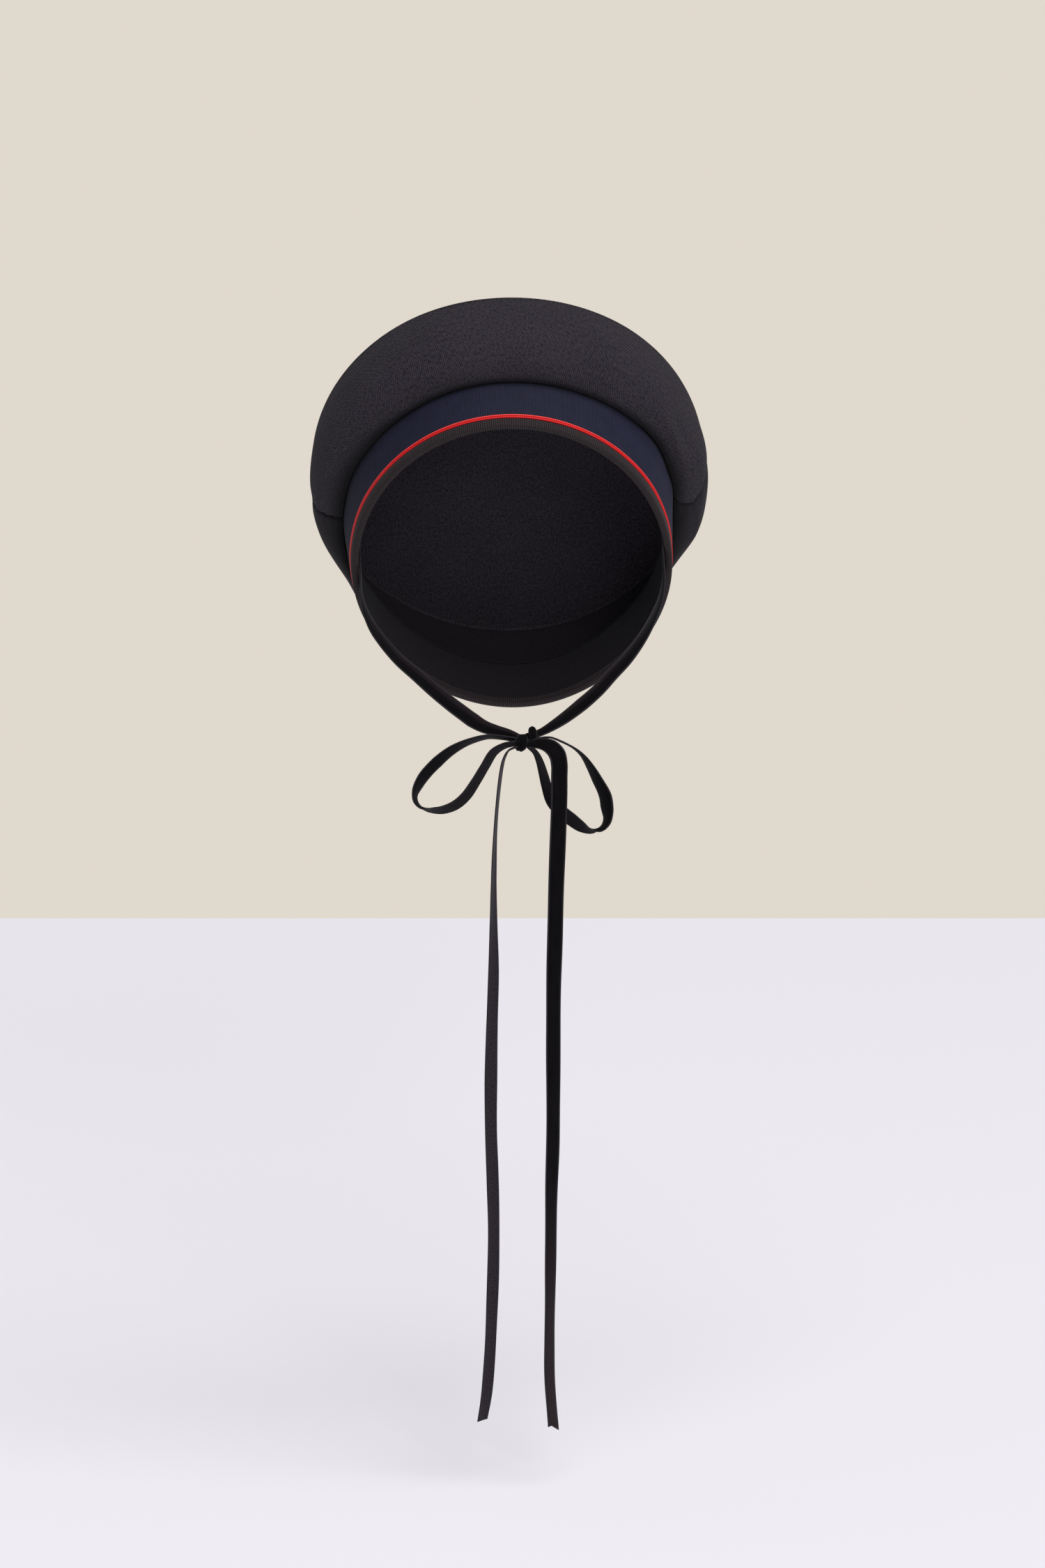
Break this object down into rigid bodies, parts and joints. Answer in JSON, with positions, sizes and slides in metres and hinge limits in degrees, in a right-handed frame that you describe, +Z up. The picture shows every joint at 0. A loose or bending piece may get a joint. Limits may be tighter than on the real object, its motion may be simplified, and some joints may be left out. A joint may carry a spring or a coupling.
{
  "type": "sailor cap",
  "caption": "Soft round-crowned sailor cap with a ribbon band, piped edge and a velvet chin ribbon tied in a bow, tilted back as worn.",
  "frame": {"origin": "centre of the opening that the head goes into", "axes": "+Z up and -Y to the front as the cap is worn; the cap is tilted back, so its opening faces forwards and down"},
  "size_m": [0.2157, 0.2114, 0.604],
  "materials": {
    "crown_cloth": "coarse plain-woven near-black cloth, matt",
    "band_cloth": "back of the near-black cloth, matt",
    "navy_grosgrain": "fine upright ribs, low sheen",
    "red_piping": "satin cord, shiny",
    "black_binding": "slant-ribbed braid, matt",
    "black_velvet": "short pile velvet with a pale picot edge"
  },
  "bodies": {
    "root": {"crown_top": "crown_cloth", "crown_side_front": "crown_cloth", "crown_side_rear": "crown_cloth", "band_wall": "band_cloth", "band_ribbon": "navy_grosgrain", "piping": "red_piping", "bottom_binding": "black_binding", "chin_strap_left": "black_velvet", "chin_strap_right": "black_velvet", "bow_loop_left": "black_velvet", "bow_loop_right": "black_velvet", "ribbon_tail_left": "black_velvet", "ribbon_tail_right": "black_velvet", "bow_knot": "black_velvet"}
  },
  "joints": []
}
